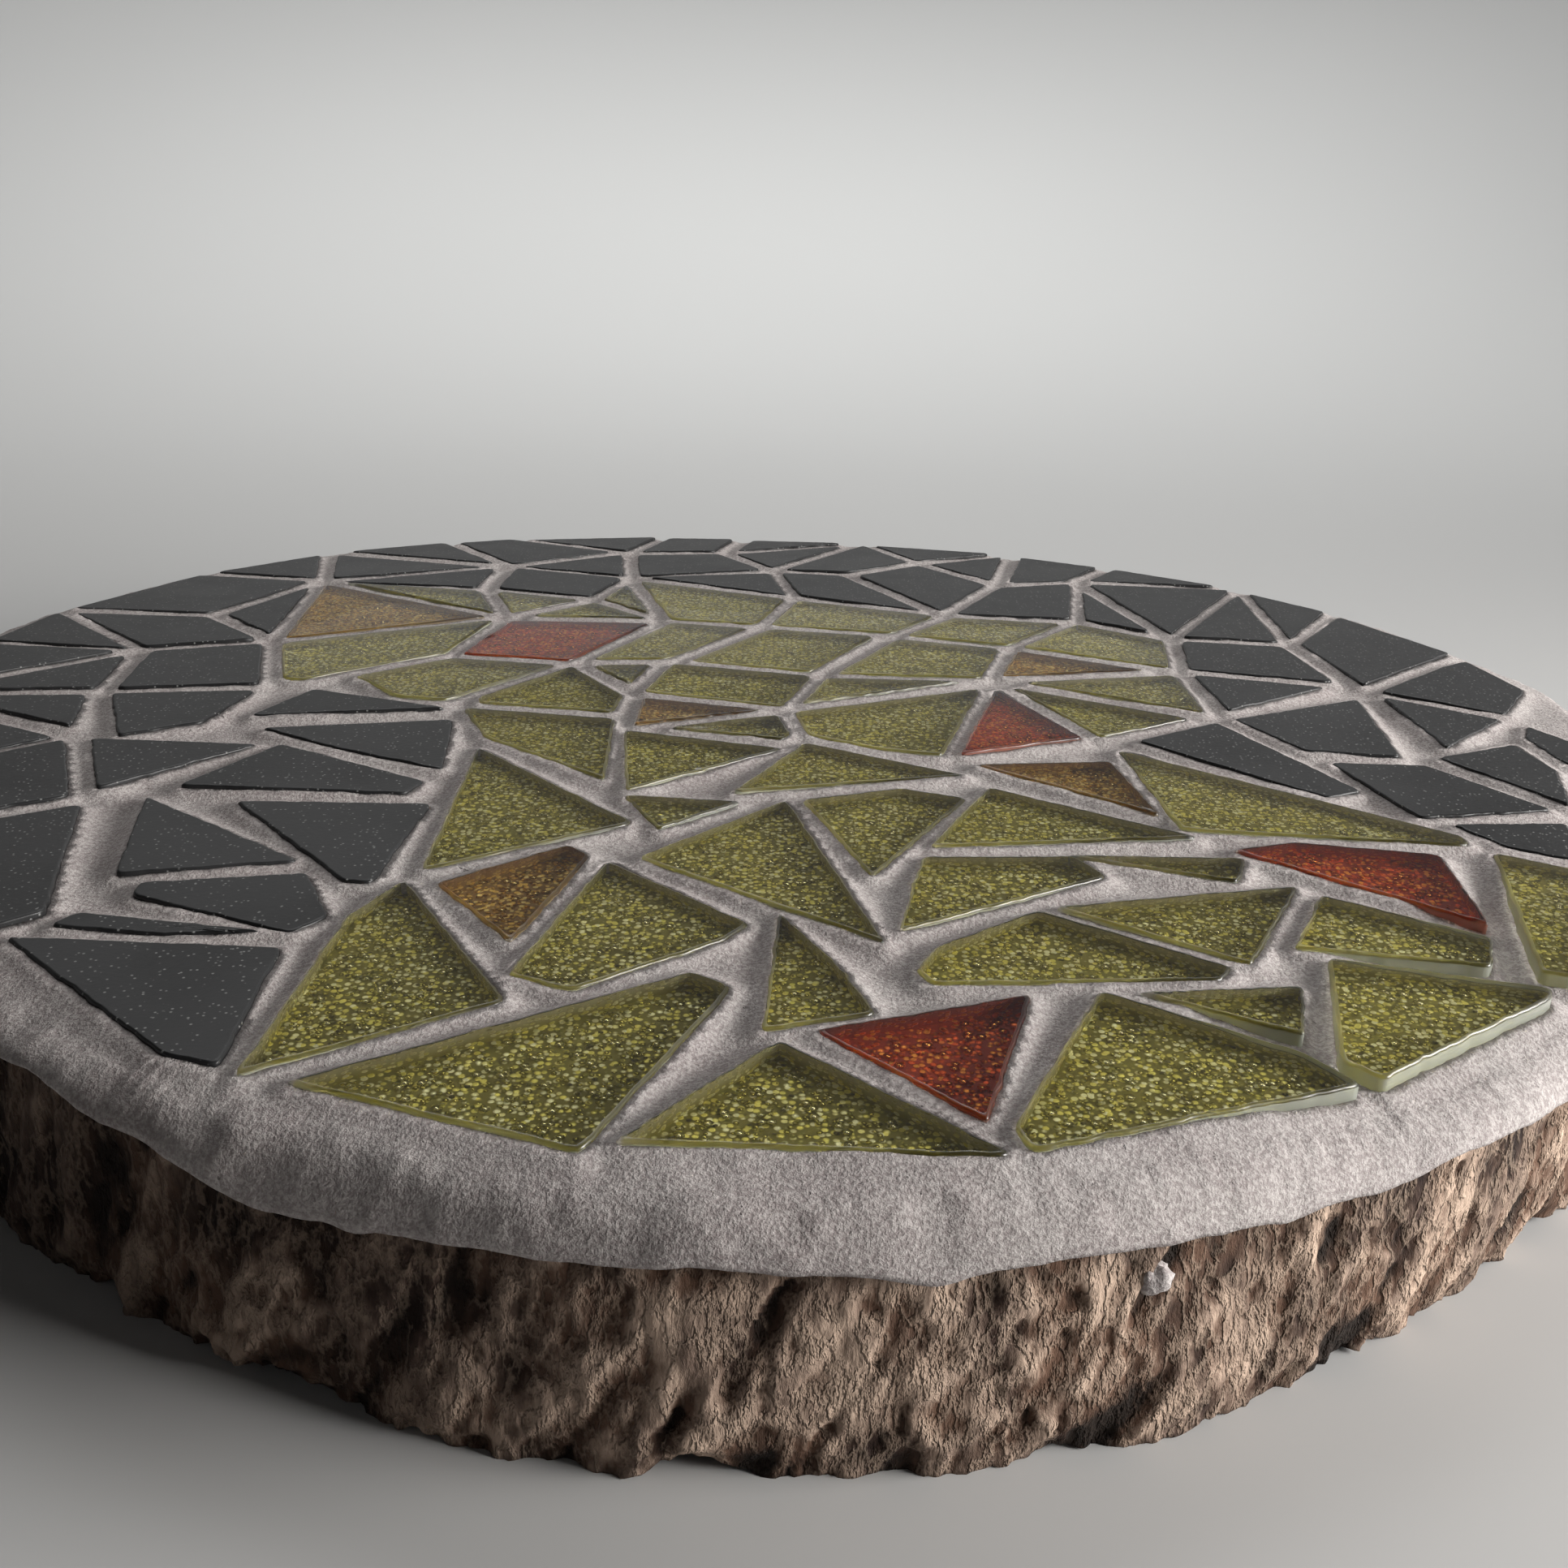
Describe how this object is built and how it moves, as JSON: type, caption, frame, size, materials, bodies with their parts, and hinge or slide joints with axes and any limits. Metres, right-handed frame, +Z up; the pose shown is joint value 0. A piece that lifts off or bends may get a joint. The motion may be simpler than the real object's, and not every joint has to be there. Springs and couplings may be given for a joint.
{
  "type": "mosaic panel",
  "caption": "Round glass mosaic panel: glitter and dark glass shards in grout, on a wood slice with its bark edge.",
  "frame": {"origin": "on the table, under the middle of the panel's box", "axes": "+Z up out of the glass face, +X along the longer way across, -Y towards the viewer of the picture"},
  "size_m": [0.2094, 0.1916, 0.021],
  "materials": {
    "bark": "rough bark",
    "grout": "sandy, matt",
    "olive_glass": "gloss over glitter",
    "dark_glass": "satin with fine specks",
    "red_glass": "gloss over glitter",
    "amber_glass": "gloss over glitter"
  },
  "bodies": {
    "root": {"amber_shard_01": "amber_glass", "amber_shard_02": "amber_glass", "amber_shard_03": "amber_glass", "dark_shard_01": "dark_glass", "dark_shard_02": "dark_glass", "dark_shard_03": "dark_glass", "dark_shard_04": "dark_glass", "dark_shard_05": "dark_glass", "dark_shard_06": "dark_glass", "dark_shard_07": "dark_glass", "dark_shard_08": "dark_glass", "dark_shard_09": "dark_glass", "dark_shard_10": "dark_glass", "dark_shard_11": "dark_glass", "dark_shard_12": "dark_glass", "dark_shard_13": "dark_glass", "dark_shard_14": "dark_glass", "dark_shard_15": "dark_glass", "dark_shard_16": "dark_glass", "dark_shard_17": "dark_glass", "dark_shard_18": "dark_glass", "dark_shard_19": "dark_glass", "dark_shard_20": "dark_glass", "dark_shard_21": "dark_glass", "dark_shard_22": "dark_glass", "grout_bed": "grout", "olive_shard_01": "olive_glass", "olive_shard_02": "olive_glass", "olive_shard_03": "olive_glass", "olive_shard_04": "olive_glass", "olive_shard_05": "olive_glass", "olive_shard_06": "olive_glass", "olive_shard_07": "olive_glass", "olive_shard_08": "olive_glass", "olive_shard_09": "olive_glass", "olive_shard_10": "olive_glass", "olive_shard_11": "olive_glass", "olive_shard_12": "olive_glass", "olive_shard_13": "olive_glass", "olive_shard_14": "olive_glass", "olive_shard_15": "olive_glass", "olive_shard_16": "olive_glass", "olive_shard_17": "olive_glass", "olive_shard_18": "olive_glass", "olive_shard_19": "olive_glass", "olive_shard_20": "olive_glass", "olive_shard_21": "olive_glass", "olive_shard_22": "olive_glass", "olive_shard_23": "olive_glass", "olive_shard_24": "olive_glass", "olive_shard_25": "olive_glass", "olive_shard_26": "olive_glass", "olive_shard_27": "olive_glass", "olive_shard_28": "olive_glass", "olive_shard_29": "olive_glass", "olive_shard_30": "olive_glass", "red_shard_01": "red_glass", "red_shard_02": "red_glass", "red_shard_03": "red_glass", "wood_slice": "bark"}
  },
  "joints": []
}
